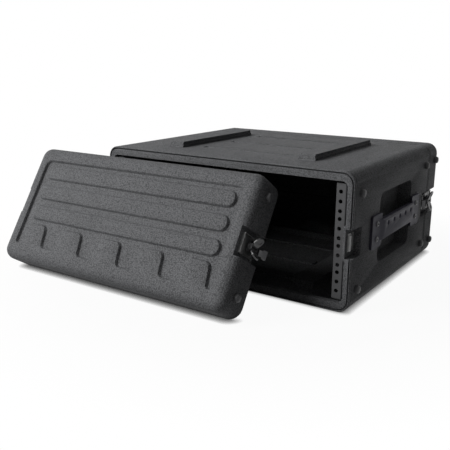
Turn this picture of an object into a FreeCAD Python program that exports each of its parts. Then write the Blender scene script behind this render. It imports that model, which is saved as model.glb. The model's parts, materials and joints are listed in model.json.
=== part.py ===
import FreeCAD, Part
import math
import os

# Equipment rack case: a moulded four unit case with a cover at each end.
# Millimetres. X runs to the right, Y to the back and Z up.
# The origin is the middle of the case base. The front cover is off and leans on the case.

# Case body
body_d = 375.6
corner_r = 21.0
wall = 4.0
end_bevel = 1.5

# Front and rear frames of the body, with the groove that takes a cover
frame_side = 12.5
frame_rise = 16.0
bay_over = 11.4
frame_depth = 10.0
frame_inner_r = 9.0
groove_in = 2.2
groove_w = 2.4
groove_depth = 6.2
collar_back = 6.4
collar_w = 1.2
collar_depth = 0.9
seal_t = 2.4
seal_gap = 0.05

# Rack standard: hole lines, unit height and the three holes of a unit
rack_hole_span = 465.1
unit_h = 44.45
units = 4
unit_holes = (6.35, 22.225, 38.1)
rack_hole_r = 3.1
rack_bay_w = 450.0
flange_w = 17.5

# Rack rails
rail_set_back = 6.2
rail_t = 2.0
rail_depth = 34.0
rail_over = 7.0
rail_bend_r = 2.5

# Raised stacking rails on the roof and the channels for them in the base
stack_x = 141.0
stack_w = 33.0
stack_rise = 10.4
stack_low = 5.0
stack_step = 2.0
stack_start = 62.0
stack_end = 312.0
stack_ramp = 6.5
stack_gap = 1.6
pad_line = 1.2
pad_margin = 3.0

# Shallow slots across the roof and the base
slot_half = 98.0
slot_w = 12.0
slot_depth = 3.5
slot_places = (100.0, 196.0, 300.0)

# Hand pockets in the sides
pocket_start = 113.0
pocket_len = 158.0
pocket_h = 124.0
pocket_depth = 26.0
pocket_r = 14.0
side_centre = 119.0

# Bolted side handles
handle_plate_w = 43.0
handle_plate_h = 58.0
handle_t = 4.5
handle_bar_t = 9.0
handle_bar_h = 36.0
handle_ramp = 10.0
handle_edge = 2.0
handle_lap = 3.0
handle_screw_in = 20.0
handle_screw_span = 26.5
dimples = 5
dimple_pitch = 29.0
dimple_r = 4.8
dimple_cut = 1.6
dimple_up = 8.0

# Latch recess, shared by the body and the covers
recess_depth = 12.0
recess_h = 49.0
recess_r = 5.0
recess_body = 36.0

# Covers
cover_d = 60.0
inner_bevel = 10.2
face_r = 18.0
rim_in = 10.0
rim_depth = 8.0
tongue_gap = 0.35
tongue_len = 3.4
lean = 32.5
cover_shift = -128.0
clear = 0.4

# Pressed pattern of the cover face
field_half = 231.0
field_low = 30.0
field_high = 204.0
field_depth = 5.0
field_draft = 2.5
field_r = 13.0
field_end = 42.0
teeth = 5
tooth_top = 72.0
tooth_half_top = 21.0
tooth_half_base = 27.5
tooth_r = 9.0
valley_r = 9.5
end_r = 6.5
fingers = (180.0, 138.5, 97.0)
finger_end = 13.0
finger_half_h = 12.5

# Rubber buttons on the sides
button_r = 6.8
button_rise = 7.5
button_slope = 2.0
button_base = 4.8
button_end_in = 25.5
button_spread = 80.0
button_cover_in = 32.0
button_cover_spread = 84.0

# Screws and rivets
screw_head_r = 4.8
screw_head_h = 2.4
rivet_head_r = 3.3
rivet_head_h = 1.3
hole_gap = 0.05

# Chords that stand for an arc where a form is small, hidden or repeated
corner_steps = 4
round_steps = 6
hidden_steps = 2
disc_sides = 20
stem_sides = 12
hole_sides = 8
head_sides = 8
pin_sides = 8

# Twist latch, measured from the recess floor, outward, and from the rim, towards the body
plate_t = 1.2
plate_back = 50.0
plate_front = 8.0
plate_half = 17.0
plate_lip = 4.2
latch_rivet_back = 44.5
latch_rivet_side = 11.5
rotor_back = 22.0
rotor_r = 12.0
rotor_low = 5.0
rotor_high = 7.6
stem_r = 3.0
draw = 9.0
slider_low = 1.4
slider_t = 2.0
slider_half = 8.0
knuckle_back = 4.0
knuckle_out = 2.4
knuckle_r = 2.0
lug_w = 2.6
pin_r = 1.1
hook_half = 7.5
hook_over = 4.6
hook_t = 2.0
hook_low = 0.1
hook_reach = 16.0
hook_lift = 25.0
wing_axis_out = 9.8
wing_axis_side = 3.0
wing_half = 8.0
wing_wide = 10.0
wing_reach = 21.5
wing_t = 2.6
wing_rise_front = 40.0
wing_rise_rear = 20.0
play = 0.3

# Keeper plate of the latch, on the body
keeper_front = 8.0
keeper_back = 30.0
keeper_half = 15.0
keeper_lip_t = 1.5
keeper_lip_h = 6.0
keeper_lip_half = 13.0
keeper_screw_in = 8.0
keeper_screw_side = 11.5

case_h = units * unit_h + 2 * (frame_rise + bay_over)
front_y = -body_d / 2
back_y = body_d / 2
mid_z = case_h / 2
rack_z = (case_h - units * unit_h) / 2
rail_inner = rack_bay_w / 2
bulge_x = rail_inner + flange_w
recess_x = bulge_x + wall
side_x = recess_x + recess_depth
tooth_pitch = (field_half - field_end) / (teeth // 2)
finger_half_l = field_half - finger_end


def box(x0, x1, y0, y1, z0, z1):
    return Part.makeBox(x1 - x0, y1 - y0, z1 - z0, FreeCAD.Vector(x0, y0, z0))


def rod(radius, length, x, y, z, axis):
    return Part.makeCylinder(radius, length, FreeCAD.Vector(x, y, z), FreeCAD.Vector(*axis))


def ring_points(radius, sides, at, axis):
    """Corners of a regular many-sided outline around an axis."""
    spin = FreeCAD.Rotation(FreeCAD.Vector(0, 0, 1), axis)
    points = []
    for i in range(sides):
        angle = 2 * math.pi * (i + 0.5) / sides
        flat = FreeCAD.Vector(radius * math.cos(angle), radius * math.sin(angle), 0)
        points.append(at + spin.multVec(flat))
    return points


def sloped(first, second):
    """Solid between two outlines with parallel sides, with a flat face on each side."""
    count = len(first)
    faces = [Part.Face(Part.makePolygon(ring + ring[:1])) for ring in (first, second)]
    for i in range(count):
        after = (i + 1) % count
        corners = [first[i], first[after], second[after], second[i], first[i]]
        faces.append(Part.Face(Part.makePolygon(corners)))
    solid = Part.Solid(Part.Shell(faces))
    if solid.Volume < 0:
        solid.reverse()
    return solid


def prism(radius, length, x, y, z, axis, sides):
    """Many-sided rod, for small pieces that repeat."""
    way = FreeCAD.Vector(*axis)
    points = ring_points(radius, sides, FreeCAD.Vector(x, y, z), way)
    return Part.Face(Part.makePolygon(points + points[:1])).extrude(way * length)


def bore(radius, length, x, y, z, axis, sides):
    """Many-sided hole whose flats clear a round rod of the radius."""
    return prism(radius / math.cos(math.pi / sides), length, x, y, z, axis, sides)


def cut_cone(radius, end_radius, length, x, y, z, axis, sides):
    """Many-sided cone with a flat end."""
    way = FreeCAD.Vector(*axis)
    at = FreeCAD.Vector(x, y, z)
    first = ring_points(radius, sides, at, way)
    second = ring_points(end_radius, sides, at + way * length, way)
    return sloped(first, second)


def barrel(radius, length, at, axis, nose):
    """Eight-sided hinge barrel along an axis, round on the side of its nose."""
    side = axis.cross(nose)
    corners = []
    for i in range(1, 8):
        angle = math.radians(45 * i)
        corners.append(at + nose * (radius * math.cos(angle)) + side * (radius * math.sin(angle)))
    edges = Part.makePolygon(corners).Edges
    edges.append(Part.Arc(corners[-1], at + nose * radius, corners[0]).toShape())
    return Part.Face(Part.Wire(edges)).extrude(axis * length)


def join(shapes):
    whole = shapes[0]
    for piece in shapes[1:]:
        whole = whole.fuse(piece)
    return whole.removeSplitter()


def mirrored(shape):
    return shape.mirror(FreeCAD.Vector(0, 0, 0), FreeCAD.Vector(1, 0, 0))


def corner_arcs(points, radii):
    """Start, middle and end of the arc that rounds each corner of a flat outline."""
    arcs = []
    count = len(points)
    for i in range(count):
        here = points[i]
        before = points[i - 1]
        after = points[(i + 1) % count]
        to_before = (before - here).normalize()
        to_after = (after - here).normalize()
        half = to_before.getAngle(to_after) / 2
        run = radii[i] / math.tan(half)
        split = (to_before + to_after).normalize()
        centre = here + split * (radii[i] / math.sin(half))
        arcs.append((here + to_before * run, centre - split * radii[i], here + to_after * run))
    return arcs


def rounded_wire(points, radii):
    arcs = corner_arcs(points, radii)
    edges = []
    for i in range(len(arcs)):
        start, middle, end = arcs[i]
        edges.append(Part.Arc(start, middle, end).toShape())
        edges.append(Part.LineSegment(end, arcs[(i + 1) % len(arcs)][0]).toShape())
    return Part.Wire(edges)


def chords(points, radii, steps):
    """Points of a closed outline whose round corners are a few chords."""
    corners = []
    for start, middle, end in corner_arcs(points, radii):
        corners += Part.Arc(start, middle, end).toShape().discretize(steps + 1)
    return corners


def round_wire(points, radii, steps):
    """Rounded outline with true arcs, or with chords where steps are given."""
    if steps == 0:
        return rounded_wire(points, radii)
    corners = chords(points, radii, steps)
    return Part.makePolygon(corners + corners[:1])


def frame_points(half_w, half_h, y, zc):
    flat = [(-half_w, -half_h), (half_w, -half_h), (half_w, half_h), (-half_w, half_h)]
    return [FreeCAD.Vector(x, y, zc + z) for x, z in flat]


def along_y(half_w, half_h, radius, y0, y1, zc, steps):
    """Rounded rectangle that faces Y, pushed from y0 to y1."""
    face = Part.Face(round_wire(frame_points(half_w, half_h, y0, zc), [radius] * 4, steps))
    return face.extrude(FreeCAD.Vector(0, y1 - y0, 0))


def along_x(x0, x1, y0, y1, z0, z1, radius, steps):
    """Rounded rectangle that faces X, pushed from x0 to x1."""
    flat = [(y0, z0), (y1, z0), (y1, z1), (y0, z1)]
    points = [FreeCAD.Vector(x0, y, z) for y, z in flat]
    face = Part.Face(round_wire(points, [radius] * 4, steps))
    return face.extrude(FreeCAD.Vector(x1 - x0, 0, 0))


def outline(inset, y0, y1, steps):
    """The case outline moved inward by an inset, pushed from y0 to y1."""
    return along_y(side_x - inset, mid_z - inset, corner_r - inset, y0, y1, mid_z, steps)


def outline_chords(inset, y, steps):
    points = frame_points(side_x - inset, mid_z - inset, y, mid_z)
    return chords(points, [corner_r - inset] * 4, steps)


def loop(inset, width, y0, y1):
    """A closed band that follows the case outline."""
    band = outline(inset, y0, y1, corner_steps)
    return band.cut(outline(inset + width, y0 - 1, y1 + 1, corner_steps))


def edges_at(solid, places):
    """Edges of a solid that lie flat in one of the planes across Y."""
    edges = []
    for edge in solid.Edges:
        bounds = edge.BoundBox
        flat = bounds.YLength < 0.001
        if flat and min(abs(bounds.YMin - place) for place in places) < 0.001:
            edges.append(edge)
    return edges


def recess(y0, y1, grow):
    """Latch recess on both sides; grow is the skin left around it."""
    half = recess_h / 2 + grow
    low = mid_z - half
    high = mid_z + half
    outer = side_x + wall
    steps = hidden_steps if grow else corner_steps
    right = along_x(recess_x - grow, outer, y0, y1, low, high, recess_r + grow, steps)
    return right.fuse(mirrored(right))


def both_ends(shape):
    """A piece of the front end together with its twin at the rear end."""
    twin = shape.copy()
    twin.rotate(FreeCAD.Vector(0, 0, 0), FreeCAD.Vector(0, 0, 1), 180)
    return shape.fuse(twin)


def stack_rail(width, low, high, y0, y1):
    """One stacking rail with a steep front end, centred on X."""
    run = stack_ramp * (high - low) / stack_rise
    flat = [(y0, low), (y1, low), (y1, high), (y0 + run, high)]
    points = [FreeCAD.Vector(-width / 2, y, z) for y, z in flat]
    face = Part.Face(Part.makePolygon(points + points[:1]))
    return face.extrude(FreeCAD.Vector(width, 0, 0))


def stack_pair(width, low, high, y0, y1):
    left = stack_rail(width, low, high, y0, y1)
    right = left.copy()
    left.translate(FreeCAD.Vector(-stack_x, 0, 0))
    right.translate(FreeCAD.Vector(stack_x, 0, 0))
    return left.fuse(right)


def pad_lines():
    """Thin line cut around the flat pad at the steep end of each stacking rail."""
    y0 = front_y + stack_start
    top = case_h + stack_rise
    outer = stack_w / 2 - pad_margin
    inner = outer - pad_line
    high = top - pad_margin
    low = case_h + pad_margin / 2
    deep = stack_ramp + pad_margin
    frame = box(-outer, outer, y0 - 1, y0 + deep, low, high)
    core = box(-inner, inner, y0 - 2, y0 + deep + 1, low + pad_line, high - pad_line)
    thin = stack_rail(stack_w + 2, case_h, top, y0 + pad_line, y0 + stack_w)
    left = frame.cut(core).cut(thin)
    right = left.copy()
    left.translate(FreeCAD.Vector(-stack_x, 0, 0))
    right.translate(FreeCAD.Vector(stack_x, 0, 0))
    return left.fuse(right)


def slot_bars(grow, z0, z1):
    bars = []
    for place in slot_places:
        centre = front_y + place
        half = slot_w / 2 + grow
        bars.append(box(-slot_half - grow, slot_half + grow, centre - half, centre + half, z0, z1))
    return join(bars)


def hand_pockets(x0, x1, grow):
    """Hand pocket on both sides; grow is the skin left around it."""
    y0 = front_y + pocket_start - grow
    y1 = front_y + pocket_start + pocket_len + grow
    z0 = side_centre - pocket_h / 2 - grow
    z1 = side_centre + pocket_h / 2 + grow
    steps = hidden_steps if grow else 0
    right = along_x(x0, x1, y0, y1, z0, z1, pocket_r + grow, steps)
    return right.fuse(mirrored(right))


def rail_places():
    """Heights of the screws that hold a rack rail."""
    step = units * unit_h / 2 - unit_h / 2
    return (mid_z - step, mid_z + step)


def rail_bosses():
    """Blocks on the side walls that carry the ends of the rack rails."""
    y0 = front_y + frame_depth - 1
    y1 = front_y + rail_set_back + rail_depth
    blocks = []
    for z in rail_places():
        right = box(bulge_x, side_x - wall + 1, y0, y1, z - unit_h / 3, z + unit_h / 3)
        blocks.append(right)
        blocks.append(mirrored(right))
    return both_ends(join(blocks))


def rail_screw_spots():
    """Middle of each rail screw: side, Y and height."""
    spots = []
    y = front_y + rail_set_back + rail_depth * 0.6
    for end in (1, -1):
        for side in (1, -1):
            for z in rail_places():
                spots.append((side, end * y, z))
    return spots


def handle_screw_spots():
    y0 = front_y + pocket_start + handle_lap - handle_plate_w + handle_screw_in
    y1 = front_y + pocket_start + pocket_len - handle_lap + handle_plate_w - handle_screw_in
    spots = []
    for side in (1, -1):
        for y in (y0, y1):
            for z in (side_centre - handle_screw_span / 2, side_centre + handle_screw_span / 2):
                spots.append((side, y, z))
    return spots


def case_button_spots():
    spots = []
    for side in (1, -1):
        for y in (front_y + button_end_in, back_y - button_end_in):
            for z in (mid_z - button_spread, mid_z + button_spread):
                spots.append((side, y, z))
    return spots


def keeper_screw_spots():
    spots = []
    for side in (1, -1):
        for end in (1, -1):
            for z in (mid_z - keeper_screw_side, mid_z + keeper_screw_side):
                spots.append((side, end * (front_y + keeper_back - keeper_screw_in), z))
    return spots


def heads(spots, x, radius, rise, outward):
    """Low many-sided heads on a plane across X at each spot, as one group."""
    pieces = []
    for side, y, z in spots:
        pieces.append(prism(radius, rise, side * x, y, z, (side * outward, 0, 0), head_sides))
    return Part.makeCompound(pieces)


def case_cavity():
    """Everything that is hollow inside the body, less what stands into it."""
    inner_r = corner_r - wall
    hollow = along_y(side_x - wall, mid_z - wall, inner_r,
                     front_y + frame_depth, back_y - frame_depth, mid_z, corner_steps)
    opening = along_y(side_x - frame_side, mid_z - frame_rise, frame_inner_r,
                      front_y - 5, back_y + 5, mid_z, corner_steps)
    hollow = hollow.fuse(opening)
    recesses = recess(front_y - 10, front_y + recess_body + wall, wall)
    hollow = hollow.cut(both_ends(recesses))
    hollow = hollow.cut(hand_pockets(side_x - pocket_depth - wall, side_x, wall))
    hollow = hollow.cut(rail_bosses())
    channel = stack_rise + stack_gap
    width = stack_w + 2 * stack_gap + 2 * wall
    y0 = front_y + stack_start - stack_gap - wall
    y1 = front_y + stack_end + stack_gap + wall
    hollow = hollow.cut(stack_pair(width, 0, channel + wall, y0, y1))
    hollow = hollow.cut(slot_bars(wall, 0, wall + slot_depth))
    hollow = hollow.cut(slot_bars(wall, case_h - wall - slot_depth, case_h))
    y0 = front_y + stack_start + wall
    y1 = front_y + stack_end - wall
    return hollow.fuse(stack_pair(stack_w - 2 * wall - stack_step, case_h - wall - 1,
                                  case_h + stack_rise - wall, y0, y1))


def case_shell():
    shell = outline(0, front_y, back_y, 0)
    shell = shell.makeChamfer(end_bevel, edges_at(shell, (front_y, back_y)))
    y0 = front_y + stack_start
    y1 = front_y + stack_end
    shell = shell.fuse(stack_pair(stack_w, case_h - 1, case_h + stack_low, y0, y1))
    narrow = stack_w - 2 * stack_step
    shell = shell.fuse(stack_pair(narrow, case_h - 1, case_h + stack_rise, y0, y1))
    shell = shell.cut(case_cavity())
    shell = shell.cut(pad_lines())
    width = stack_w + 2 * stack_gap
    shell = shell.cut(stack_pair(width, -1, stack_rise + stack_gap, y0 - stack_gap, y1 + stack_gap))
    shell = shell.cut(slot_bars(0, -1, slot_depth))
    shell = shell.cut(slot_bars(0, case_h - slot_depth, case_h + 1))
    shell = shell.cut(hand_pockets(side_x - pocket_depth, side_x + 1, 0))
    shell = shell.cut(both_ends(recess(front_y - 10, front_y + recess_body, 0)))
    grooves = loop(groove_in, groove_w, front_y - 1, front_y + groove_depth)
    collar_y = front_y + collar_back
    collar = loop(-wall, wall + collar_depth, collar_y, collar_y + collar_w)
    shell = shell.cut(both_ends(grooves))
    return shell.cut(both_ends(collar))


def frame_seal():
    """Rubber strip at the bottom of the front groove, open at the latch recesses."""
    inset = groove_in + seal_gap
    strip = loop(inset, groove_w - 2 * seal_gap, front_y + groove_depth - seal_t, front_y + groove_depth)
    return strip.cut(recess(front_y - 10, front_y + recess_body, seal_gap))


def rack_hole(unit, number):
    """One hole of a rail. The first and last hole of the bay, which hold a panel of full height, are
    round, and the others between them have fewer faces."""
    y0 = front_y + rail_set_back
    z = rack_z + unit * unit_h + unit_holes[number]
    x = rack_hole_span / 2
    if (unit, number) in ((0, 0), (units - 1, len(unit_holes) - 1)):
        return rod(rack_hole_r, rail_t + 2, x, y0 - 1, z, (0, 1, 0))
    return bore(rack_hole_r, rail_t + 2, x, y0 - 1, z, (0, 1, 0), hole_sides)


def rack_rail():
    """Right front rail: a drilled flange and a web that bends back beside the side wall."""
    z0 = rack_z - rail_over
    tall = units * unit_h + 2 * rail_over
    y0 = front_y + rail_set_back
    rail = box(rail_inner, bulge_x, y0, y0 + rail_depth, z0, z0 + tall)
    inside = box(rail_inner - 1, bulge_x - rail_t, y0 + rail_t, y0 + rail_depth + 1, z0 - 1, z0 + tall + 1)
    rail = rail.cut(inside)
    bend = [edge for edge in rail.Edges
            if edge.BoundBox.ZLength > tall - 1 and edge.BoundBox.XMin > bulge_x - 0.01
            and edge.BoundBox.YMax < y0 + 0.01]
    rail = rail.makeFillet(rail_bend_r, bend)
    for unit in range(units):
        for number in range(len(unit_holes)):
            rail = rail.cut(rack_hole(unit, number))
    return rail


def rail_screws():
    return heads(rail_screw_spots(), bulge_x - rail_t, screw_head_r, screw_head_h, -1)


def handle_screws():
    return heads(handle_screw_spots(), side_x + handle_t, screw_head_r, screw_head_h, 1)


def side_handle():
    """Right handle: two screwed plates joined by a bar across the hand pocket."""
    y0 = front_y + pocket_start + handle_lap - handle_plate_w
    y1 = front_y + pocket_start + pocket_len - handle_lap + handle_plate_w
    outer = side_x + handle_t
    half = handle_plate_h / 2
    z0 = side_centre - half
    z1 = side_centre + half
    plate_r = handle_t
    first = along_x(side_x, outer, y0, y0 + handle_plate_w, z0, z1, plate_r, 0)
    second = along_x(side_x, outer, y1 - handle_plate_w, y1, z0, z1, plate_r, 0)
    top = side_x + handle_bar_t
    start = y0 + handle_plate_w - handle_ramp
    end = y1 - handle_plate_w + handle_ramp
    flat = [(side_x, start), (outer, start), (top, start + handle_ramp),
            (top, end - handle_ramp), (outer, end), (side_x, end)]
    low = side_centre - handle_bar_h / 2
    points = [FreeCAD.Vector(x, y, low) for x, y in flat]
    grip = Part.Face(Part.makePolygon(points + points[:1]))
    bar = grip.extrude(FreeCAD.Vector(0, 0, handle_bar_h))
    long_edges = [edge for edge in bar.Edges
                  if edge.BoundBox.XMin > top - 0.001 and edge.BoundBox.ZLength < 0.001]
    bar = bar.makeChamfer(handle_edge, long_edges)
    handle = join([first, second, bar])
    middle = (y0 + y1) / 2
    for i in range(dimples):
        y = middle + (i - (dimples - 1) / 2) * dimple_pitch
        x = side_x + handle_bar_t
        hollow = cut_cone(dimple_r, dimple_r / 2, dimple_cut, x, y, side_centre + dimple_up,
                          (-1, 0, 0), pin_sides)
        handle = handle.cut(hollow)
    return handle


def keeper():
    """Right front keeper: a screwed plate with an upright lip for the latch hook."""
    y0 = front_y + keeper_front
    y1 = front_y + keeper_back
    plate = box(recess_x, recess_x + plate_t, y0, y1, mid_z - keeper_half, mid_z + keeper_half)
    lip = box(recess_x, recess_x + keeper_lip_h, y0, y0 + keeper_lip_t,
              mid_z - keeper_lip_half, mid_z + keeper_lip_half)
    return join([plate, lip])


def keeper_screws():
    return heads(keeper_screw_spots(), recess_x + plate_t, rivet_head_r, rivet_head_h, 1)


def button(side, y, z):
    """Rubber button with a bevelled top."""
    base = prism(button_r, button_base, side * side_x, y, z, (side, 0, 0), head_sides)
    top = cut_cone(button_r, button_r - button_slope, button_rise - button_base,
                   side * (side_x + button_base), y, z, (side, 0, 0), head_sides)
    return join([base, top])


def buttons(spots):
    return Part.makeCompound([button(side, y, z) for side, y, z in spots])


def offset_outline(points, radii, inward):
    """Outline points (x, z) and radii after every side moves inward; anticlockwise outline."""
    count = len(points)
    lines = []
    for i in range(count):
        x0, z0 = points[i]
        x1, z1 = points[(i + 1) % count]
        length = math.hypot(x1 - x0, z1 - z0)
        nx = -(z1 - z0) / length
        nz = (x1 - x0) / length
        lines.append((x0 + nx * inward, z0 + nz * inward, (x1 - x0) / length, (z1 - z0) / length))
    moved = []
    new_radii = []
    for i in range(count):
        ax, az, adx, adz = lines[i - 1]
        bx, bz, bdx, bdz = lines[i]
        cross = adx * bdz - adz * bdx
        t = ((bx - ax) * bdz - (bz - az) * bdx) / cross
        moved.append((ax + adx * t, az + adz * t))
        turn = inward if cross > 0 else -inward
        new_radii.append(radii[i] - turn)
    return moved, new_radii


def field_outline():
    """Pressed field of the cover: a plain top and a row of teeth along the bottom."""
    points = [(-field_half, field_high), (-field_half, field_low)]
    radii = [field_r, end_r]
    for i in range(teeth):
        near = end_r if i == 0 else valley_r
        far = end_r if i == teeth - 1 else valley_r
        centre = (i - (teeth - 1) / 2) * tooth_pitch
        points += [(centre - tooth_half_base, field_low), (centre - tooth_half_top, tooth_top),
                   (centre + tooth_half_top, tooth_top), (centre + tooth_half_base, field_low)]
        radii += [near, tooth_r, tooth_r, far]
    points += [(field_half, field_low), (field_half, field_high)]
    radii += [end_r, field_r]
    return points, radii


def finger_outline(z):
    points = [(-finger_half_l, z - finger_half_h), (finger_half_l, z - finger_half_h),
              (finger_half_l, z + finger_half_h), (-finger_half_l, z + finger_half_h)]
    return points, [finger_half_h - 0.4] * 4


def tapered(shape_outline, y0, y1, inward):
    """Solid between an outline at y0 and the same outline moved inward at y1."""
    points, radii = shape_outline
    small_points, small_radii = offset_outline(points, radii, inward)
    first = [FreeCAD.Vector(x, y0, z) for x, z in points]
    second = [FreeCAD.Vector(x, y1, z) for x, z in small_points]
    return sloped(chords(first, radii, corner_steps), chords(second, small_radii, corner_steps))


def straight(shape_outline, y0, y1, inward, steps):
    points, radii = offset_outline(shape_outline[0], shape_outline[1], inward)
    wire = round_wire([FreeCAD.Vector(x, y0, z) for x, z in points], radii, steps)
    return Part.Face(wire).extrude(FreeCAD.Vector(0, y1 - y0, 0))


def pressed_field():
    """The hollow pressed into the cover face, around the three raised fingers."""
    y0 = -cover_d
    y1 = -cover_d + field_depth
    hollow = tapered(field_outline(), y0, y1, field_draft)
    hollow = hollow.fuse(straight(field_outline(), y0 - 1, y0, 0, corner_steps))
    for z in fingers:
        hollow = hollow.cut(tapered(finger_outline(z), y0, y1, -field_draft))
        hollow = hollow.cut(straight(finger_outline(z), y0 - 2, y0, 0, corner_steps))
    return hollow


def field_back():
    """The same pressing as it stands into the inside of the cover."""
    y0 = -cover_d
    y1 = -cover_d + field_depth + wall
    raised = straight(field_outline(), y0, y1, field_draft - wall, hidden_steps)
    for z in fingers:
        raised = raised.cut(straight(finger_outline(z), y0 - 1, y1 + 1, wall - field_draft / 2,
                                     hidden_steps))
    return raised


def cover_button_spots():
    spots = []
    for side in (1, -1):
        for z in (mid_z - button_cover_spread, mid_z + button_cover_spread):
            spots.append((side, -button_cover_in, z))
    return spots


def latch_rivet_spots():
    spots = []
    for side in (1, -1):
        for z in (mid_z - latch_rivet_side, mid_z + latch_rivet_side):
            spots.append((side, -latch_rivet_back, z))
    return spots


def cover_block():
    """Solid block of a cover, rounded in steps from its sides to its outer face."""
    pieces = [outline(0, -cover_d + face_r, 0, round_steps)]
    for i in range(round_steps):
        rings = []
        for angle in (math.pi / 2 * i / round_steps, math.pi / 2 * (i + 1) / round_steps):
            inset = face_r * (1 - math.cos(angle))
            y = -cover_d + face_r * (1 - math.sin(angle))
            rings.append(outline_chords(inset, y, round_steps))
        pieces.append(sloped(rings[0], rings[1]))
    return join(pieces)


def cover_shell():
    """Cover with its rim on y = 0 and its outer face on y = -cover_d."""
    shell = cover_block()
    shell = shell.makeChamfer(end_bevel, edges_at(shell, (0,)))
    bevel_y = -cover_d + wall + inner_bevel
    deep = sloped(outline_chords(wall, bevel_y, corner_steps),
                  outline_chords(wall + inner_bevel, -cover_d + wall, corner_steps))
    cavity = outline(wall, bevel_y, 1, corner_steps).fuse(deep)
    cavity = cavity.cut(loop(0, rim_in, -rim_depth, 2))
    cavity = cavity.cut(recess(-cover_d - 10, 10, wall))
    cavity = cavity.cut(field_back())
    shell = shell.cut(cavity)
    shell = shell.cut(pressed_field())
    tongue_in = groove_in + tongue_gap
    shell = shell.fuse(loop(tongue_in, groove_w - 2 * tongue_gap, -1, tongue_len))
    return shell.cut(recess(-cover_d - 10, 10, 0))


def cover_latch_rivets():
    return heads(latch_rivet_spots(), recess_x + plate_t, rivet_head_r, rivet_head_h, 1)


def latch_base():
    """Latch plate with an upturned rim on three sides."""
    plate = box(0, plate_lip, -plate_back, -plate_front, -plate_half, plate_half)
    tray = box(plate_t, plate_lip + 1, -plate_back + plate_t, 0,
               -plate_half + plate_t, plate_half - plate_t)
    plate = plate.cut(tray)
    return plate.cut(bore(stem_r + hole_gap, plate_t + 2, -1, -rotor_back, 0, (1, 0, 0), stem_sides))


def latch_rotor():
    """Turning disc with its stem, the wing lugs and the two wing pins, riveted into one piece."""
    disc = prism(rotor_r, rotor_high - rotor_low, rotor_low, -rotor_back, 0, (1, 0, 0), disc_sides)
    stem = barrel(stem_r, rotor_low - plate_t / 4, FreeCAD.Vector(plate_t / 4, -rotor_back, 0),
                  FreeCAD.Vector(1, 0, 0), FreeCAD.Vector(0, -1, 0))
    lug_out = wing_axis_out + knuckle_r
    lug_side = wing_axis_side + knuckle_r
    lugs = []
    for way in (-1, 1):
        y = -rotor_back + way * (wing_half + play + lug_w / 2)
        lugs.append(box(rotor_high - 0.5, lug_out, y - lug_w / 2, y + lug_w / 2, -lug_side, lug_side))
    pin_len = 2 * (wing_half + play + lug_w / 2)
    pins = []
    for w in (-wing_axis_side, wing_axis_side):
        pins.append(prism(pin_r, pin_len, wing_axis_out, -rotor_back - pin_len / 2, w, (0, 1, 0), pin_sides))
    return join([disc, stem] + lugs + pins)


def latch_wing(rise):
    """Upper folding wing, raised from flat by an angle."""
    low = wing_axis_out - wing_t / 2
    start = wing_axis_side
    step = wing_axis_side + knuckle_r + play
    flat = [(-wing_half, start), (-wing_half, step), (-wing_wide, step + 2)]
    left = [FreeCAD.Vector(low, y, z) for y, z in flat]
    right = [FreeCAD.Vector(low, -y, z) for y, z in reversed(flat)]
    shoulder_out = wing_reach - wing_wide * 0.7
    shoulder = FreeCAD.Vector(low, -wing_wide, shoulder_out)
    tip = FreeCAD.Vector(low, 0, wing_reach)
    shoulder_right = FreeCAD.Vector(low, wing_wide, shoulder_out)
    curve = Part.Arc(shoulder, tip, shoulder_right).toShape().discretize(2 * corner_steps - 1)
    points = left + curve + right
    plate = Part.Face(Part.makePolygon(points + points[:1])).extrude(FreeCAD.Vector(wing_t, 0, 0))
    hinge = barrel(knuckle_r, 2 * wing_half, FreeCAD.Vector(wing_axis_out, -wing_half, wing_axis_side),
                   FreeCAD.Vector(0, 1, 0), FreeCAD.Vector(0, 0, -1))
    wing = join([plate, hinge])
    wing = wing.cut(bore(pin_r + hole_gap, 4 * wing_half, wing_axis_out, -2 * wing_half,
                         wing_axis_side, (0, 1, 0), pin_sides))
    wing = wing.cut(box(low + wing_t * 0.6, low + wing_t + 1, -wing_wide * 0.55, wing_wide * 0.55,
                        wing_reach * 0.5, wing_reach * 0.78))
    axis_at = FreeCAD.Vector(wing_axis_out, 0, wing_axis_side)
    wing.rotate(axis_at, FreeCAD.Vector(0, 1, 0), rise)
    wing.translate(FreeCAD.Vector(0, -rotor_back, 0))
    return wing


def latch_wing_lower(rise):
    upper = latch_wing(rise)
    return upper.mirror(FreeCAD.Vector(0, 0, 0), FreeCAD.Vector(0, 0, 1))


def latch_slider():
    """Plate that the rotor draws, with two lugs and a riveted pin for the hook, let out by the draw."""
    y_knuckle = -knuckle_back
    plate = box(slider_low, slider_low + slider_t, -rotor_back - draw - stem_r - 4,
                y_knuckle - knuckle_r - play, -slider_half, slider_half)
    slot_half_w = stem_r + play
    slot = box(0, knuckle_out * 4, -rotor_back - draw - slot_half_w, -rotor_back + slot_half_w,
               -slot_half_w, slot_half_w)
    pieces = [plate]
    for w in (-slider_half, slider_half - lug_w):
        pieces.append(prism(knuckle_r, lug_w, knuckle_out, y_knuckle, w, (0, 0, 1), pin_sides))
        pieces.append(box(slider_low, knuckle_out + knuckle_r, y_knuckle - knuckle_r - play - 2,
                          y_knuckle, w, w + lug_w))
    body = join(pieces).cut(slot)
    pin = prism(pin_r, 2 * slider_half - lug_w, knuckle_out, y_knuckle, lug_w / 2 - slider_half,
                (0, 0, 1), pin_sides)
    body = join([body, pin])
    body.translate(FreeCAD.Vector(0, draw, 0))
    return body


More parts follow.
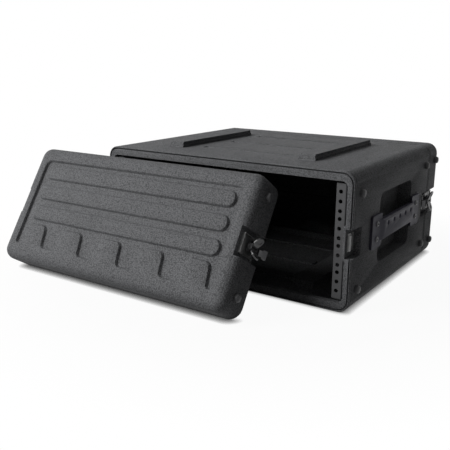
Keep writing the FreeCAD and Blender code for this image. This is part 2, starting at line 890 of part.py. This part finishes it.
def latch_hook():
    """Hook on the slider pin, let out and lifted clear of its keeper."""
    half = slider_half - lug_w - play
    knuckle = barrel(knuckle_r, 2 * half, FreeCAD.Vector(0, 0, -half), FreeCAD.Vector(0, 0, 1),
                     FreeCAD.Vector(0, -1, 0))
    top = hook_over + hook_t
    riser = hook_t / 2
    flat = [(0, -riser), (top, -riser), (top, hook_reach), (hook_low, hook_reach),
            (hook_low, hook_reach - hook_t), (hook_over, hook_reach - hook_t), (hook_over, riser),
            (0, riser)]
    points = [FreeCAD.Vector(x, y, -half) for x, y in flat]
    arm = Part.Face(Part.makePolygon(points + points[:1])).extrude(FreeCAD.Vector(0, 0, 2 * half))
    wide = box(hook_over, top, top, hook_reach, -hook_half, hook_half)
    claw = box(hook_low, top, hook_reach - hook_t, hook_reach, -hook_half, hook_half)
    hook = join([knuckle, arm, wide, claw])
    hook = hook.cut(bore(pin_r + hole_gap, 4 * half, 0, 0, -2 * half, (0, 0, 1), pin_sides))
    hook.rotate(FreeCAD.Vector(0, 0, 0), FreeCAD.Vector(0, 0, 1), -hook_lift)
    hook.translate(FreeCAD.Vector(knuckle_out, draw - knuckle_back, 0))
    return hook


def latch_parts(rise):
    """The pieces of one latch, in place on the right side of a cover."""
    pieces = {
        "base": latch_base(),
        "rotor": latch_rotor(),
        "wing_upper": latch_wing(rise),
        "wing_lower": latch_wing_lower(rise),
        "slider": latch_slider(),
        "hook": latch_hook(),
    }
    for name in pieces:
        pieces[name].translate(FreeCAD.Vector(recess_x, 0, mid_z))
    return pieces


def lean_front(shape):
    """Stand a cover on the floor and lean it on the front of the case."""
    angle = math.radians(lean)
    tip_inset = groove_in + tongue_gap
    tip_y = tongue_len * math.cos(angle) + (case_h - tip_inset) * math.sin(angle)
    placed = shape.copy()
    placed.rotate(FreeCAD.Vector(0, 0, 0), FreeCAD.Vector(1, 0, 0), -lean)
    placed.translate(FreeCAD.Vector(cover_shift, front_y - clear - tip_y, 0))
    return placed


def turn_rear(shape):
    """Turn a cover to the rear end of the case, with its rim on the rear frame."""
    placed = shape.copy()
    placed.rotate(FreeCAD.Vector(0, 0, 0), FreeCAD.Vector(0, 0, 1), 180)
    placed.translate(FreeCAD.Vector(0, back_y, 0))
    return placed


def turned(shape):
    placed = shape.copy()
    placed.rotate(FreeCAD.Vector(0, 0, 0), FreeCAD.Vector(0, 0, 1), 180)
    return placed


def save(name, shape):
    shape.exportStep("parts/" + name + ".step")


def save_case():
    save("case_shell", case_shell())
    seal = frame_seal()
    save("front_seal", seal)
    save("rear_seal", turned(seal))
    rail = rack_rail()
    save("front_right_rail", rail)
    save("front_left_rail", mirrored(rail))
    save("rear_left_rail", turned(rail))
    save("rear_right_rail", mirrored(turned(rail)))
    save("rail_screws", rail_screws())
    handle = side_handle()
    save("right_handle", handle)
    save("left_handle", mirrored(handle))
    save("handle_screws", handle_screws())
    plate = keeper()
    save("front_right_keeper", plate)
    save("front_left_keeper", mirrored(plate))
    save("rear_left_keeper", turned(plate))
    save("rear_right_keeper", mirrored(turned(plate)))
    save("keeper_screws", keeper_screws())
    save("case_buttons", buttons(case_button_spots()))


def save_cover(end, place, near, far, rise):
    """One cover with its latches; near is the side that the right of the cover ends up on."""
    save(end + "_cover", place(cover_shell()))
    save(end + "_cover_buttons", place(buttons(cover_button_spots())))
    save(end + "_latch_rivets", place(cover_latch_rivets()))
    for name, piece in latch_parts(rise).items():
        save(end + "_" + near + "_latch_" + name, place(piece))
        save(end + "_" + far + "_latch_" + name, place(mirrored(piece)))


os.makedirs("parts", exist_ok=True)
save_case()
save_cover("front", lean_front, "right", "left", wing_rise_front)
save_cover("rear", turn_rear, "left", "right", wing_rise_rear)
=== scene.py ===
import bpy
import bmesh
import json
import math
from mathutils import Matrix, Vector


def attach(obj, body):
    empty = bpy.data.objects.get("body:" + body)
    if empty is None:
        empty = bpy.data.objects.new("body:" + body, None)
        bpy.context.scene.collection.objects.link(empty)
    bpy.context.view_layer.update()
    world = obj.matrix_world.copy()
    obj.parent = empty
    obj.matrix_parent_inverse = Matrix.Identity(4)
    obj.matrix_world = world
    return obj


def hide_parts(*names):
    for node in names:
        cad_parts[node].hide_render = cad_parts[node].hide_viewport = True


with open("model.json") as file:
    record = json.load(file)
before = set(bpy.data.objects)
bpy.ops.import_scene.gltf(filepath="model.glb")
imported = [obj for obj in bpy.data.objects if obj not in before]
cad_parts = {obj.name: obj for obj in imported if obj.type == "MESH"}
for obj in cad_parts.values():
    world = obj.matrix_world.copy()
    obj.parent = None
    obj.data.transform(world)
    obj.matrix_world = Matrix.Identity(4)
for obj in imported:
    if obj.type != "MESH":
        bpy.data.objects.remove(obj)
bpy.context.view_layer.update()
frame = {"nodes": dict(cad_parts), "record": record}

NODES = frame["nodes"]
RECORD = frame["record"]
SLOT_OF = {entry["node"]: entry["material_slot"] for entry in RECORD["subparts"]}
BODY_OF = {}
for body_name, body_nodes in RECORD["behaviour"]["bodies"].items():
    for node_name in body_nodes:
        BODY_OF[node_name] = body_name

# Sizes of the small round pieces, in metres
UNIT = 0.04445
UNITS = 4
UNIT_HOLES = (0.0, 0.015875, 0.03175)
HOLE_ROUND = 1.012
DIMPLES = 5
DIMPLE_PITCH = 0.029
DIMPLE_R = 0.0050
DIMPLE_DEEP = 0.0018
DIMPLE_UP = 0.008
HEAD_SIDES = 24
HEX_HALF = 0.866
HEAD_SPIN = 0.7
EIGHT_SIDES = math.cos(math.pi / 8)
CUT_REACH = 0.006

# Limits for merging points and flat faces, and for sharp and bevelled edges
WELD = 0.000004
FLAT_ANGLE = math.radians(0.6)
SHARP_ANGLE = math.radians(32)
BEVEL_ANGLE = math.radians(35)

# Floor and camera, in metres, pixels and degrees
FLOOR_HALF = 12.0
FLOOR_DROP = 0.0004
FLOOR_GREY = 0.38
# Reach of the contact shadow painted into the floor's glow
PAINTED_CONTACT_SHADOW_REACH = 0.012
SENSOR = 36.0
FOCAL_PIXELS = 641.5
PHOTO_PIXELS = 450.0
CAMERA_PLACE = (0.6351, -1.1000, 0.4035)
CAMERA_YAW = 34.105
CAMERA_PITCH = 14.757
CAMERA_ROLL = 0.29


# Materials
class Shader:
    """Small helper that builds one node material."""

    def __init__(self, name):
        self.material = bpy.data.materials.new(name)
        self.material.use_nodes = True
        self.tree = self.material.node_tree
        self.bsdf = self.tree.nodes["Principled BSDF"]
        self.coords = self.add("ShaderNodeTexCoord")

    def add(self, kind, **values):
        node = self.tree.nodes.new(kind)
        for key, value in values.items():
            setattr(node, key, value)
        return node

    def link(self, out, into):
        self.tree.links.new(out, into)

    def place(self, node, stretch=None):
        source = self.coords.outputs["Object"]
        if stretch:
            mapping = self.add("ShaderNodeMapping")
            mapping.inputs["Scale"].default_value = stretch
            self.link(source, mapping.inputs["Vector"])
            source = mapping.outputs["Vector"]
        self.link(source, node.inputs["Vector"])

    def noise(self, scale, detail=3.0, rough=0.5, stretch=None):
        node = self.add("ShaderNodeTexNoise")
        node.inputs["Scale"].default_value = scale
        node.inputs["Detail"].default_value = detail
        node.inputs["Roughness"].default_value = rough
        self.place(node, stretch)
        return node.outputs["Fac"]

    def cells(self, scale):
        node = self.add("ShaderNodeTexVoronoi", feature="SMOOTH_F1")
        node.inputs["Scale"].default_value = scale
        node.inputs["Smoothness"].default_value = 0.6
        self.place(node)
        return node.outputs["Distance"]

    def span(self, fac, low_in, high_in, low_out, high_out):
        node = self.add("ShaderNodeMapRange")
        node.inputs["From Min"].default_value = low_in
        node.inputs["From Max"].default_value = high_in
        node.inputs["To Min"].default_value = low_out
        node.inputs["To Max"].default_value = high_out
        self.link(fac, node.inputs["Value"])
        return node.outputs["Result"]

    def ramp(self, fac, low, high, start=0.0, end=1.0):
        node = self.add("ShaderNodeValToRGB")
        node.color_ramp.elements[0].position = start
        node.color_ramp.elements[1].position = end
        node.color_ramp.elements[0].color = (*low, 1)
        node.color_ramp.elements[1].color = (*high, 1)
        self.link(fac, node.inputs["Fac"])
        return node.outputs["Color"]

    def blend(self, fac, first, second):
        node = self.add("ShaderNodeMix", data_type="RGBA")
        self.link(fac, node.inputs["Factor"])
        self.link(first, node.inputs["A"])
        self.link(second, node.inputs["B"])
        return node.outputs["Result"]

    def bump(self, height, strength, distance, below=None):
        node = self.add("ShaderNodeBump")
        node.inputs["Strength"].default_value = strength
        node.inputs["Distance"].default_value = distance
        self.link(height, node.inputs["Height"])
        if below is not None:
            self.link(below, node.inputs["Normal"])
        return node.outputs["Normal"]


def tinted(colour, share):
    return tuple(min(1.0, c * share) for c in colour)


def pebbled(name, colour, rough, grain, depth):
    """Moulded plastic with a leather-like grain, slight random patches of lighter and darker tone, fine dust
    and scuffs.
    """
    s = Shader(name)
    cells = s.cells(grain)
    fine = s.noise(grain * 2.3, 2.0)
    patches = s.noise(14.0, 4.0, 0.6)
    scuffs = s.noise(90.0, 6.0, 0.7, (1.0, 0.25, 1.6))
    body = s.ramp(patches, tinted(colour, 0.88), tinted(colour, 1.12), 0.35, 0.7)
    peaks = s.ramp(cells, tinted(colour, 1.8), tinted(colour, 0.45), 0.15, 0.7)
    speck = s.span(fine, 0.35, 0.65, 0.4, 0.9)
    grained = s.blend(speck, body, peaks)
    worn = s.ramp(patches, tinted(colour, 1.7), tinted(colour, 2.1))
    s.link(s.blend(s.span(scuffs, 0.64, 0.8, 0.0, 0.35), grained, worn), s.bsdf.inputs["Base Color"])
    s.link(s.span(scuffs, 0.3, 0.7, rough - 0.05, rough + 0.07), s.bsdf.inputs["Roughness"])
    s.bsdf.inputs["Specular IOR Level"].default_value = 0.04
    normal = s.bump(cells, 1.0, depth)
    normal = s.bump(fine, 0.5, depth * 0.4, normal)
    s.link(normal, s.bsdf.inputs["Normal"])
    return s.material


def smooth_plastic(name, colour, rough, shine=0.2):
    s = Shader(name)
    patches = s.noise(30.0, 4.0, 0.6)
    fine = s.noise(1600.0, 2.0)
    scratches = s.noise(260.0, 5.0, 0.7, (1.0, 0.12, 1.0))
    body = s.ramp(patches, tinted(colour, 0.88), tinted(colour, 1.14), 0.35, 0.7)
    worn = s.ramp(patches, tinted(colour, 1.5), tinted(colour, 1.9))
    s.link(s.blend(s.span(scratches, 0.62, 0.78, 0.0, 0.4), body, worn), s.bsdf.inputs["Base Color"])
    s.link(s.span(scratches, 0.3, 0.75, rough - 0.06, rough + 0.08), s.bsdf.inputs["Roughness"])
    s.bsdf.inputs["Specular IOR Level"].default_value = shine
    s.link(s.bump(fine, 0.5, 0.00006), s.bsdf.inputs["Normal"])
    return s.material


def metal(name, colour, rough, metallic, streak):
    s = Shader(name)
    grain = s.noise(300.0, 5.0, 0.6, streak)
    patches = s.noise(60.0, 4.0, 0.6)
    body = s.ramp(patches, tinted(colour, 0.8), tinted(colour, 1.12), 0.3, 0.75)
    s.link(body, s.bsdf.inputs["Base Color"])
    s.link(s.span(grain, 0.25, 0.75, rough - 0.07, rough + 0.1), s.bsdf.inputs["Roughness"])
    s.bsdf.inputs["Metallic"].default_value = metallic
    s.link(s.bump(grain, 0.3, 0.00004), s.bsdf.inputs["Normal"])
    return s.material


FINISH = {
    "shell_plastic": pebbled("shell_plastic_grain", (0.078, 0.079, 0.082), 0.6, 520.0, 0.0005),
    "black_rubber": smooth_plastic("rubber_matte", (0.045, 0.045, 0.047), 0.5, 0.25),
    "rail_steel": metal("rail_coat", (0.028, 0.028, 0.03), 0.5, 0.0, (1, 1, 0.2)),
    "handle_nylon": smooth_plastic("handle_nylon_blue_black", (0.030, 0.029, 0.040), 0.5, 0.08),
    "black_screw": metal("screw_black_oxide", (0.05, 0.05, 0.052), 0.34, 0.8, (1, 1, 1)),
    "latch_black": metal("latch_black_coat", (0.035, 0.035, 0.037), 0.38, 0.0, (1, 1, 1)),
    "latch_steel": metal("latch_zinc", (0.17, 0.17, 0.17), 0.45, 1.0, (0.15, 1, 1)),
}
DARK_STEEL = metal("latch_zinc_dark", (0.065, 0.065, 0.067), 0.42, 1.0, (0.15, 1, 1))
BEVELS = {"shell_plastic": 0.0007, "handle_nylon": 0.0009, "rail_steel": 0.0003, "black_rubber": 0.0004,
          "black_screw": 0.0003, "latch_black": 0.0003, "latch_steel": 0.0002}


# Shapes built from the frame
def link_object(name, mesh):
    piece = bpy.data.objects.new(name, mesh)
    bpy.context.scene.collection.objects.link(piece)
    return piece


def spread(points):
    """Low and high corner of some points."""
    low = Vector([min(p[i] for p in points) for i in range(3)])
    high = Vector([max(p[i] for p in points) for i in range(3)])
    return low, high


def islands(node):
    """Low and high corner of each separate solid of a frame node."""
    source = NODES[node]
    bm = bmesh.new()
    bm.from_mesh(source.data)
    bmesh.ops.remove_doubles(bm, verts=bm.verts, dist=WELD)
    left = set(bm.verts)
    boxes = []
    while left:
        group = set()
        queue = [left.pop()]
        while queue:
            vert = queue.pop()
            group.add(vert)
            for edge in vert.link_edges:
                other = edge.other_vert(vert)
                if other in left:
                    left.remove(other)
                    queue.append(other)
        boxes.append(spread([source.matrix_world @ vert.co for vert in group]))
    bm.free()
    return sorted(boxes, key=lambda pair: tuple(round(value, 4) for value in pair[0]))


def turned_rings(profile, sides):
    """Corners and faces of a turned piece along X. A profile row is radius, height, six-sided or not."""
    corners = []
    for radius, height, six in profile:
        for i in range(sides):
            angle = 2 * math.pi * i / sides
            reach = radius
            if six:
                reach = radius * HEX_HALF / math.cos((angle + math.pi / 6) % (math.pi / 3) - math.pi / 6)
            corners.append((height, reach * math.cos(angle), reach * math.sin(angle)))
    faces = [tuple(range(sides - 1, -1, -1))]
    for row in range(len(profile) - 1):
        for i in range(sides):
            after = (i + 1) % sides
            here, above = row * sides, (row + 1) * sides
            faces.append((here + i, here + after, above + after, above + i))
    last = (len(profile) - 1) * sides
    faces.append(tuple(range(last, last + sides)))
    return corners, faces


def turned_group(node, shape, outward):
    """One mesh with a turned piece in the place of each solid of a node whose solids point along X."""
    corners = []
    faces = []
    for number, (low, high) in enumerate(islands(node)):
        side = 1 if low.x + high.x > 0 else -1
        way = side * outward
        base = low.x if way > 0 else high.x
        radius = (high.z - low.z) / 2 / EIGHT_SIDES
        if SLOT_OF[node] == "black_rubber":
            radius = (high.y - low.y + high.z - low.z) / 4 / EIGHT_SIDES
        rise = high.x - low.x
        some, sides = turned_rings(shape(radius, rise), HEAD_SIDES)
        turn = Matrix.Rotation(HEAD_SPIN * number, 3, "X")
        start = len(corners)
        for corner in some:
            point = turn @ Vector(corner)
            corners.append((base + way * point.x, (low.y + high.y) / 2 + point.y,
                            (low.z + high.z) / 2 + point.z))
        for face in sides:
            loop = face if way > 0 else tuple(reversed(face))
            faces.append(tuple(start + i for i in loop))
    mesh = bpy.data.meshes.new(node)
    mesh.from_pydata(corners, [], faces)
    return mesh


def screw_head(radius, rise):
    """Low domed head with a six-sided socket."""
    return [(radius, 0, False), (radius, rise * 0.35, False), (radius * 0.95, rise * 0.6, False),
            (radius * 0.82, rise * 0.85, False), (radius * 0.62, rise, False), (radius * 0.5, rise, True),
            (radius * 0.48, rise * 0.93, True), (radius * 0.47, rise * 0.3, True),
            (radius * 0.1, rise * 0.2, False)]


def rivet_head(radius, rise):
    return [(radius, 0, False), (radius * 0.99, rise * 0.3, False), (radius * 0.86, rise * 0.68, False),
            (radius * 0.6, rise * 0.93, False), (radius * 0.3, rise, False), (radius * 0.2, rise * 0.9, False),
            (radius * 0.08, rise * 0.85, False)]


def rubber_button(radius, rise):
    return [(radius, 0, False), (radius, rise * 0.5, False), (radius * 0.97, rise * 0.66, False),
            (radius * 0.88, rise * 0.81, False), (radius * 0.72, rise * 0.92, False),
            (radius * 0.48, rise * 0.985, False), (radius * 0.1, rise, False)]


TURNED = {
    "rail_screws": (screw_head, -1), "handle_screws": (screw_head, 1), "keeper_screws": (screw_head, 1),
    "front_latch_rivets": (rivet_head, 1), "rear_latch_rivets": (rivet_head, 1),
    "case_buttons": (rubber_button, 1), "front_cover_buttons": (rubber_button, 1),
    "rear_cover_buttons": (rubber_button, 1),
}


def frame_copy(node):
    """Mesh of a frame node with its flat faces merged."""
    mesh = NODES[node].data.copy()
    mesh.materials.clear()
    bm = bmesh.new()
    bm.from_mesh(mesh)
    bmesh.ops.remove_doubles(bm, verts=bm.verts, dist=WELD)
    bmesh.ops.dissolve_limit(bm, angle_limit=FLAT_ANGLE, verts=bm.verts, edges=bm.edges)
    bmesh.ops.triangulate(bm, faces=[face for face in bm.faces if len(face.verts) > 4])
    bm.to_mesh(mesh)
    bm.free()
    return mesh


def cut_round(mesh, places, shape, along):
    """Mesh with a round hollow cut in at each place, turned about X or, with along, about Y."""
    corners = []
    faces = []
    for place in places:
        some, sides = turned_rings(shape, HEAD_SIDES)
        start = len(corners)
        for x, y, z in some:
            point = Vector((x, y, z)) if along == "X" else Vector((-y, x, z))
            corners.append(tuple(Vector(place) + point))
        faces += [tuple(start + i for i in face) for face in sides]
    cutter_mesh = bpy.data.meshes.new("cutter")
    cutter_mesh.from_pydata(corners, [], faces)
    cutter = link_object("cutter", cutter_mesh)
    blank = link_object("blank", mesh)
    cut = blank.modifiers.new("cut", "BOOLEAN")
    cut.operation = "DIFFERENCE"
    cut.solver = "EXACT"
    cut.object = cutter
    bpy.context.view_layer.update()
    result = bpy.data.meshes.new_from_object(blank.evaluated_get(bpy.context.evaluated_depsgraph_get()))
    bpy.data.objects.remove(blank)
    bpy.data.objects.remove(cutter)
    return result


def rail_mesh(node):
    """Rail whose holes are all truly round."""
    mesh = frame_copy(node)
    low, high = spread([NODES[node].matrix_world @ Vector(corner) for corner in NODES[node].bound_box])
    side = 1 if low.x > 0 else -1
    flange = low.y if low.y < 0 else high.y
    bay = next(m for m in RECORD["mounts"] if m["name"] == "front_rack_bay")
    half_w = bay["dims"]["spacing_x_mm"] / 2000
    foot = bay["pos_m"][2] - bay["dims"]["spacing_y_mm"] / 2000
    radius = bay["dims"]["hole_r_mm"] / 1000 / EIGHT_SIDES * HOLE_ROUND
    places = []
    for unit in range(UNITS):
        for hole in UNIT_HOLES:
            places.append((side * half_w, flange, foot + unit * UNIT + hole))
    return cut_round(mesh, places, [(radius, -CUT_REACH, False), (radius, CUT_REACH, False)], "Y")


def handle_mesh(node):
    """Handle with round dimples in its grip."""
    mesh = frame_copy(node)
    low, high = spread([NODES[node].matrix_world @ Vector(corner) for corner in NODES[node].bound_box])
    side = 1 if low.x > 0 else -1
    face = high.x if side > 0 else low.x
    middle = (low.y + high.y) / 2
    z = (low.z + high.z) / 2 + DIMPLE_UP
    shape = [(DIMPLE_R * 0.35, -DIMPLE_DEEP, False), (DIMPLE_R * 0.7, -DIMPLE_DEEP * 0.85, False),
             (DIMPLE_R, 0.0, False), (DIMPLE_R * 1.05, 0.002, False)]
    if side < 0:
        shape = [(radius, -height, six) for radius, height, six in reversed(shape)]
    places = []
    for i in range(DIMPLES):
        places.append((face, middle + (i - (DIMPLES - 1) / 2) * DIMPLE_PITCH, z))
    return cut_round(mesh, places, shape, "X")


def dressed(node):
    """Makes the visible piece for a frame node, with soft edges and its finish."""
    if node in TURNED:
        shape, outward = TURNED[node]
        mesh = turned_group(node, shape, outward)
    elif node.endswith("_rail"):
        mesh = rail_mesh(node)
    elif node.endswith("_handle"):
        mesh = handle_mesh(node)
    else:
        mesh = frame_copy(node)
    mesh.materials.clear()
    slot_name = SLOT_OF[node]
    dark = node.endswith(("_hook", "_slider"))
    mesh.materials.append(DARK_STEEL if dark else FINISH[slot_name])
    for polygon in mesh.polygons:
        polygon.use_smooth = True
        polygon.material_index = 0
    mesh.set_sharp_from_angle(angle=SHARP_ANGLE)
    piece = link_object("v_" + node, mesh)
    if node not in TURNED:
        bevel = piece.modifiers.new("edges", "BEVEL")
        bevel.width = BEVELS[slot_name]
        bevel.segments = 2
        bevel.limit_method = "ANGLE"
        bevel.angle_limit = BEVEL_ANGLE
        bevel.use_clamp_overlap = True
        bevel.harden_normals = True
    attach(piece, BODY_OF[node])
    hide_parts(node)


for node_name in NODES:
    dressed(node_name)


# Stage
def shown_rays(tree):
    """One for the rays that show the background: from the camera, in mirrors and through glass."""
    path = tree.nodes.new("ShaderNodeLightPath")
    total = path.outputs["Is Camera Ray"]
    for name in ("Is Glossy Ray", "Is Transmission Ray"):
        pick = tree.nodes.new("ShaderNodeMath")
        pick.operation = "MAXIMUM"
        tree.links.new(total, pick.inputs[0])
        tree.links.new(path.outputs[name], pick.inputs[1])
        total = pick.outputs["Value"]
    return total


def floor_sheet():
    """Pale floor that keeps a faint lamp shadow near the object, shows white to the camera, and has a contact
    shadow painted into its glow.
    """
    mesh = bpy.data.meshes.new("floor")
    size = FLOOR_HALF
    corners = [(-size, -size, 0), (size, -size, 0), (size, size, 0), (-size, size, 0)]
    mesh.from_pydata(corners, [], [(0, 1, 2, 3)])
    floor = link_object("floor", mesh)
    floor.location.z = -FLOOR_DROP
    s = Shader("floor_white_painted_contact_shadow")
    s.bsdf.inputs["Base Color"].default_value = (FLOOR_GREY, FLOOR_GREY, FLOOR_GREY, 1)
    s.bsdf.inputs["Roughness"].default_value = 0.95
    s.bsdf.inputs["Specular IOR Level"].default_value = 0.0
    glow_with_painted_shadow = s.add("ShaderNodeEmission")
    glow_with_painted_shadow.inputs["Strength"].default_value = 1.0
    seen = shown_rays(s.tree)
    reach = s.add("ShaderNodeVectorMath", operation="LENGTH")
    s.link(s.coords.outputs["Object"], reach.inputs[0])
    share = s.span(reach.outputs["Value"], 0.4, 0.65, 0.95, 1.0)
    # Contact shadow painted into the floor's glow colour by ambient occlusion, not cast by a lamp
    painted_contact_shadow = s.add("ShaderNodeAmbientOcclusion", samples=8)
    painted_contact_shadow.inputs["Distance"].default_value = PAINTED_CONTACT_SHADOW_REACH
    s.link(painted_contact_shadow.outputs["Color"], glow_with_painted_shadow.inputs["Color"])
    shown = s.add("ShaderNodeMath", operation="MULTIPLY")
    s.link(seen, shown.inputs[0])
    s.link(share, shown.inputs[1])
    mix = s.add("ShaderNodeMixShader")
    s.link(shown.outputs["Value"], mix.inputs["Fac"])
    s.link(s.bsdf.outputs["BSDF"], mix.inputs[1])
    s.link(glow_with_painted_shadow.outputs["Emission"], mix.inputs[2])
    s.link(mix.outputs["Shader"], s.tree.nodes["Material Output"].inputs["Surface"])
    mesh.materials.append(s.material)


def area_lamp(name, place, target, width, height, watts):
    data = bpy.data.lights.new(name, "AREA")
    data.shape = "RECTANGLE"
    data.size = width
    data.size_y = height
    data.energy = watts
    lamp = bpy.data.objects.new(name, data)
    lamp.location = place
    lamp.rotation_euler = (Vector(target) - Vector(place)).to_track_quat("-Z", "Y").to_euler()
    bpy.context.scene.collection.objects.link(lamp)


def white_world(strength):
    world = bpy.data.worlds.new("studio")
    bpy.context.scene.world = world
    world.use_nodes = True
    tree = world.node_tree
    tree.nodes.clear()
    out = tree.nodes.new("ShaderNodeOutputWorld")
    mix = tree.nodes.new("ShaderNodeMixShader")
    seen = tree.nodes.new("ShaderNodeBackground")
    seen.inputs["Color"].default_value = (1, 1, 1, 1)
    seen.inputs["Strength"].default_value = 1.0
    light = tree.nodes.new("ShaderNodeBackground")
    light.inputs["Color"].default_value = (1, 1, 1, 1)
    light.inputs["Strength"].default_value = strength
    tree.links.new(shown_rays(tree), mix.inputs["Fac"])
    tree.links.new(light.outputs["Background"], mix.inputs[1])
    tree.links.new(seen.outputs["Background"], mix.inputs[2])
    tree.links.new(mix.outputs["Shader"], out.inputs["Surface"])


floor_sheet()
white_world(0.09)
area_lamp("key", (-1.9, -2.3, 1.95), (-0.1, -0.25, 0.1), 1.9, 1.2, 185)
area_lamp("top", (0.2, 0.5, 2.8), (0, 0, 0.2), 2.6, 2.2, 2)


# Camera
def photo_camera():
    """Camera of the photo: fitted to the outline of the case and to the holes of its rail."""
    yaw, pitch, roll = (math.radians(angle) for angle in (CAMERA_YAW, CAMERA_PITCH, CAMERA_ROLL))
    back = Vector((math.sin(yaw) * math.cos(pitch), -math.cos(yaw) * math.cos(pitch), math.sin(pitch)))
    right = Vector((0, 0, 1)).cross(back).normalized()
    up = back.cross(right)
    turned_right = math.cos(roll) * right + math.sin(roll) * up
    turned_up = -math.sin(roll) * right + math.cos(roll) * up
    data = bpy.data.cameras.new("camera")
    data.sensor_width = SENSOR
    data.lens = SENSOR * FOCAL_PIXELS / PHOTO_PIXELS
    data.clip_start, data.clip_end = 0.05, 50
    camera = bpy.data.objects.new("camera", data)
    basis = Matrix((turned_right, turned_up, back)).transposed()
    camera.matrix_world = Matrix.Translation(CAMERA_PLACE) @ basis.to_4x4()
    bpy.context.scene.collection.objects.link(camera)
    bpy.context.scene.camera = camera


photo_camera()
bpy.context.scene.view_settings.view_transform = "Standard"
